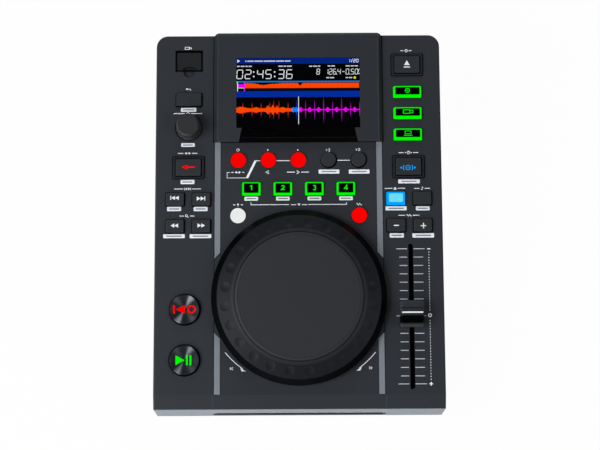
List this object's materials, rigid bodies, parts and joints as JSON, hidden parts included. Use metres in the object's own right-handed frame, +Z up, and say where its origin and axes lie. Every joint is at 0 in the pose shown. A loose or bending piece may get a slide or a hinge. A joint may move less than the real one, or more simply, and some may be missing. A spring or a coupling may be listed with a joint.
{
  "type": "tabletop disc player",
  "caption": "Tabletop disc player for mixing: sloped deck with screen, jog wheel, lit keys, browse knob, pitch fader, front disc slot and rear sockets.",
  "frame": {"origin": "centre of the footprint, on the plane the feet stand on", "axes": "+X to the player's right, +Y from the front face to the rear, +Z up"},
  "size_m": [0.22, 0.2868, 0.087],
  "materials": {
    "shell": "satin moulded",
    "tray": "powder coated",
    "fascia": "satin silver grey",
    "panel": "powder coated",
    "socket_body": "moulded",
    "rocker": "gloss",
    "foot_rubber": "matt",
    "screw_steel": "blackened",
    "surround": "satin moulded",
    "window": "clear",
    "module": "stamped",
    "trim": "fine dotted",
    "bezel": "satin moulded",
    "jog_body": "semi gloss",
    "jog_top": "satin",
    "bearing": "moulded",
    "encoder": "moulded",
    "shaft_steel": "turned",
    "knob": "soft touch",
    "fader_frame": "plated",
    "fader_knob": "satin",
    "board": "solder mask",
    "switch": "moulded",
    "socket_shell": "plated",
    "lid": "matt",
    "drive_sheet": "galvanised",
    "turntable": "moulded",
    "clamp": "moulded",
    "roller_rubber": "matt",
    "sled": "moulded",
    "key_dark": "satin",
    "big_key": "spun",
    "key_green": "lit",
    "key_red": "lit",
    "key_white": "lit",
    "key_blue": "lit"
  },
  "bodies": {
    "case": {"top_cover": "shell", "bottom_tray": "tray", "front_fascia": "fascia", "rear_panel": "panel", "rear_sockets": "socket_body", "rubber_feet": "foot_rubber", "case_screws": "screw_steel", "display_surround": "surround", "display_window": "window", "display_module": "module", "trim_strips": "trim", "key_bezels": "bezel", "jog_bearing": "bearing", "browse_encoder": "encoder", "fader_body": "fader_frame", "control_boards": "board", "tact_switches": "switch", "usb_socket": "socket_shell", "drive_chassis": "drive_sheet", "main_board": "board"},
    "jog_wheel": {"jog_ring": "jog_body", "jog_plate": "jog_top"},
    "browse_plunger": {"browse_plunger": "shaft_steel"},
    "browse_knob": {"browse_knob": "knob"},
    "fader": {"fader_cap": "fader_knob"},
    "power_rocker": {"power_rocker": "rocker"},
    "usb_cover": {"usb_cover": "lid"},
    "turntable": {"turntable": "turntable"},
    "disc_clamp": {"disc_clamp": "clamp"},
    "feed_roller": {"feed_roller": "roller_rubber"},
    "pickup_sled": {"pickup_sled": "sled"},
    "sled_screw": {"sled_screw": "shaft_steel"},
    "back_key": {"back_key": "key_dark"},
    "reverse_key": {"reverse_key": "key_dark"},
    "track_back_key": {"track_back_key": "key_dark"},
    "track_forward_key": {"track_forward_key": "key_dark"},
    "search_back_key": {"search_back_key": "key_dark"},
    "search_forward_key": {"search_forward_key": "key_dark"},
    "eject_key": {"eject_key": "key_dark"},
    "source_key_disc": {"source_key_disc": "key_green"},
    "source_key_stick": {"source_key_stick": "key_green"},
    "source_key_computer": {"source_key_computer": "key_green"},
    "jog_mode_key": {"jog_mode_key": "key_dark"},
    "key_lock_key": {"key_lock_key": "key_blue"},
    "tap_key": {"tap_key": "key_dark"},
    "bend_minus_key": {"bend_minus_key": "key_dark"},
    "bend_plus_key": {"bend_plus_key": "key_dark"},
    "hot_cue_key_1": {"hot_cue_key_1": "key_green"},
    "hot_cue_key_2": {"hot_cue_key_2": "key_green"},
    "hot_cue_key_3": {"hot_cue_key_3": "key_green"},
    "hot_cue_key_4": {"hot_cue_key_4": "key_green"},
    "shift_key": {"shift_key": "key_white"},
    "slip_key": {"slip_key": "key_red"},
    "loop_auto_key": {"loop_auto_key": "key_red"},
    "loop_in_key": {"loop_in_key": "key_red"},
    "loop_out_key": {"loop_out_key": "key_red"},
    "loop_half_key": {"loop_half_key": "key_dark"},
    "loop_double_key": {"loop_double_key": "key_dark"},
    "cue_key": {"cue_key": "big_key"},
    "play_key": {"play_key": "big_key"}
  },
  "joints": [
    {"name": "jog_turn", "type": "hinge", "parent": "case", "child": "jog_wheel", "pos_m": [0, -0.06031, 0.05517], "axis": [0, -0.1392, 0.9903], "continuous": true},
    {"name": "fader_slide", "type": "slide", "parent": "case", "child": "fader", "axis": [0, 0.9903, 0.1392], "range_m": [-0.05, 0.05]},
    {"name": "browse_press", "type": "slide", "parent": "case", "child": "browse_plunger", "axis": [0, -0.1392, 0.9903], "range_m": [-0.0006, 0], "stiffness_N_per_m": 800, "springref_m": 0.001},
    {"name": "browse_turn", "type": "hinge", "parent": "browse_plunger", "child": "browse_knob", "pos_m": [-0.0845, 0.07021, 0.07352], "axis": [0, -0.1392, 0.9903], "continuous": true},
    {"name": "usb_cover_hinge", "type": "hinge", "parent": "case", "child": "usb_cover", "pos_m": [-0.0845, 0.12955, 0.08064], "axis": [-1, 0, 0], "range_deg": [0, 95]},
    {"name": "rocker_pivot", "type": "hinge", "parent": "case", "child": "power_rocker", "pos_m": [-0.044, 0.1317, 0.036], "axis": [1, 0, 0], "range_deg": [0, 20]},
    {"name": "turntable_spin", "type": "hinge", "parent": "case", "child": "turntable", "pos_m": [0, -0.0697, 0.009], "axis": [0, 0, 1], "continuous": true},
    {"name": "disc_clamp_spin", "type": "hinge", "parent": "case", "child": "disc_clamp", "pos_m": [0, -0.0697, 0.024], "axis": [0, 0, 1], "continuous": true},
    {"name": "feed_roller_turn", "type": "hinge", "parent": "case", "child": "feed_roller", "pos_m": [0, -0.1287, 0.01195], "axis": [1, 0, 0], "continuous": true},
    {"name": "sled_slide", "type": "slide", "parent": "case", "child": "pickup_sled", "axis": [0, 1, 0], "range_m": [0, 0.034]},
    {"name": "sled_screw_turn", "type": "hinge", "parent": "case", "child": "sled_screw", "pos_m": [0.027, -0.0697, 0.0119], "axis": [0, 1, 0], "range_deg": [0, 4081]},
    {"name": "back_press", "type": "slide", "parent": "case", "child": "back_key", "axis": [0, -0.1392, 0.9903], "range_m": [-0.0008, 0], "stiffness_N_per_m": 800, "springref_m": 0.001},
    {"name": "reverse_press", "type": "slide", "parent": "case", "child": "reverse_key", "axis": [0, -0.1392, 0.9903], "range_m": [-0.0008, 0], "stiffness_N_per_m": 800, "springref_m": 0.001},
    {"name": "track_back_press", "type": "slide", "parent": "case", "child": "track_back_key", "axis": [0, -0.1392, 0.9903], "range_m": [-0.0008, 0], "stiffness_N_per_m": 800, "springref_m": 0.001},
    {"name": "track_forward_press", "type": "slide", "parent": "case", "child": "track_forward_key", "axis": [0, -0.1392, 0.9903], "range_m": [-0.0008, 0], "stiffness_N_per_m": 800, "springref_m": 0.001},
    {"name": "search_back_press", "type": "slide", "parent": "case", "child": "search_back_key", "axis": [0, -0.1392, 0.9903], "range_m": [-0.0008, 0], "stiffness_N_per_m": 800, "springref_m": 0.001},
    {"name": "search_forward_press", "type": "slide", "parent": "case", "child": "search_forward_key", "axis": [0, -0.1392, 0.9903], "range_m": [-0.0008, 0], "stiffness_N_per_m": 800, "springref_m": 0.001},
    {"name": "eject_press", "type": "slide", "parent": "case", "child": "eject_key", "axis": [0, -0.1392, 0.9903], "range_m": [-0.0008, 0], "stiffness_N_per_m": 800, "springref_m": 0.001},
    {"name": "source_disc_press", "type": "slide", "parent": "case", "child": "source_key_disc", "axis": [0, -0.1392, 0.9903], "range_m": [-0.0008, 0], "stiffness_N_per_m": 800, "springref_m": 0.001},
    {"name": "source_stick_press", "type": "slide", "parent": "case", "child": "source_key_stick", "axis": [0, -0.1392, 0.9903], "range_m": [-0.0008, 0], "stiffness_N_per_m": 800, "springref_m": 0.001},
    {"name": "source_computer_press", "type": "slide", "parent": "case", "child": "source_key_computer", "axis": [0, -0.1392, 0.9903], "range_m": [-0.0008, 0], "stiffness_N_per_m": 800, "springref_m": 0.001},
    {"name": "jog_mode_press", "type": "slide", "parent": "case", "child": "jog_mode_key", "axis": [0, -0.1392, 0.9903], "range_m": [-0.0008, 0], "stiffness_N_per_m": 800, "springref_m": 0.001},
    {"name": "key_lock_press", "type": "slide", "parent": "case", "child": "key_lock_key", "axis": [0, -0.1392, 0.9903], "range_m": [-0.0008, 0], "stiffness_N_per_m": 800, "springref_m": 0.001},
    {"name": "tap_press", "type": "slide", "parent": "case", "child": "tap_key", "axis": [0, -0.1392, 0.9903], "range_m": [-0.0008, 0], "stiffness_N_per_m": 800, "springref_m": 0.001},
    {"name": "bend_minus_press", "type": "slide", "parent": "case", "child": "bend_minus_key", "axis": [0, -0.1392, 0.9903], "range_m": [-0.0008, 0], "stiffness_N_per_m": 800, "springref_m": 0.001},
    {"name": "bend_plus_press", "type": "slide", "parent": "case", "child": "bend_plus_key", "axis": [0, -0.1392, 0.9903], "range_m": [-0.0008, 0], "stiffness_N_per_m": 800, "springref_m": 0.001},
    {"name": "hot_cue_1_press", "type": "slide", "parent": "case", "child": "hot_cue_key_1", "axis": [0, -0.1392, 0.9903], "range_m": [-0.0008, 0], "stiffness_N_per_m": 800, "springref_m": 0.001},
    {"name": "hot_cue_2_press", "type": "slide", "parent": "case", "child": "hot_cue_key_2", "axis": [0, -0.1392, 0.9903], "range_m": [-0.0008, 0], "stiffness_N_per_m": 800, "springref_m": 0.001},
    {"name": "hot_cue_3_press", "type": "slide", "parent": "case", "child": "hot_cue_key_3", "axis": [0, -0.1392, 0.9903], "range_m": [-0.0008, 0], "stiffness_N_per_m": 800, "springref_m": 0.001},
    {"name": "hot_cue_4_press", "type": "slide", "parent": "case", "child": "hot_cue_key_4", "axis": [0, -0.1392, 0.9903], "range_m": [-0.0008, 0], "stiffness_N_per_m": 800, "springref_m": 0.001},
    {"name": "shift_press", "type": "slide", "parent": "case", "child": "shift_key", "axis": [0, -0.1392, 0.9903], "range_m": [-0.0008, 0], "stiffness_N_per_m": 800, "springref_m": 0.001},
    {"name": "slip_press", "type": "slide", "parent": "case", "child": "slip_key", "axis": [0, -0.1392, 0.9903], "range_m": [-0.0008, 0], "stiffness_N_per_m": 800, "springref_m": 0.001},
    {"name": "loop_auto_press", "type": "slide", "parent": "case", "child": "loop_auto_key", "axis": [0, -0.1392, 0.9903], "range_m": [-0.0008, 0], "stiffness_N_per_m": 800, "springref_m": 0.001},
    {"name": "loop_in_press", "type": "slide", "parent": "case", "child": "loop_in_key", "axis": [0, -0.1392, 0.9903], "range_m": [-0.0008, 0], "stiffness_N_per_m": 800, "springref_m": 0.001},
    {"name": "loop_out_press", "type": "slide", "parent": "case", "child": "loop_out_key", "axis": [0, -0.1392, 0.9903], "range_m": [-0.0008, 0], "stiffness_N_per_m": 800, "springref_m": 0.001},
    {"name": "loop_half_press", "type": "slide", "parent": "case", "child": "loop_half_key", "axis": [0, -0.1392, 0.9903], "range_m": [-0.0008, 0], "stiffness_N_per_m": 800, "springref_m": 0.001},
    {"name": "loop_double_press", "type": "slide", "parent": "case", "child": "loop_double_key", "axis": [0, -0.1392, 0.9903], "range_m": [-0.0008, 0], "stiffness_N_per_m": 800, "springref_m": 0.001},
    {"name": "cue_press", "type": "slide", "parent": "case", "child": "cue_key", "axis": [0, -0.1392, 0.9903], "range_m": [-0.0012, 0], "stiffness_N_per_m": 800, "springref_m": 0.001},
    {"name": "play_press", "type": "slide", "parent": "case", "child": "play_key", "axis": [0, -0.1392, 0.9903], "range_m": [-0.0012, 0], "stiffness_N_per_m": 800, "springref_m": 0.001}
  ],
  "couplings": [
    {"joint": "sled_screw_turn", "follows": "sled_slide", "rad_per_m": 2094.4}
  ]
}
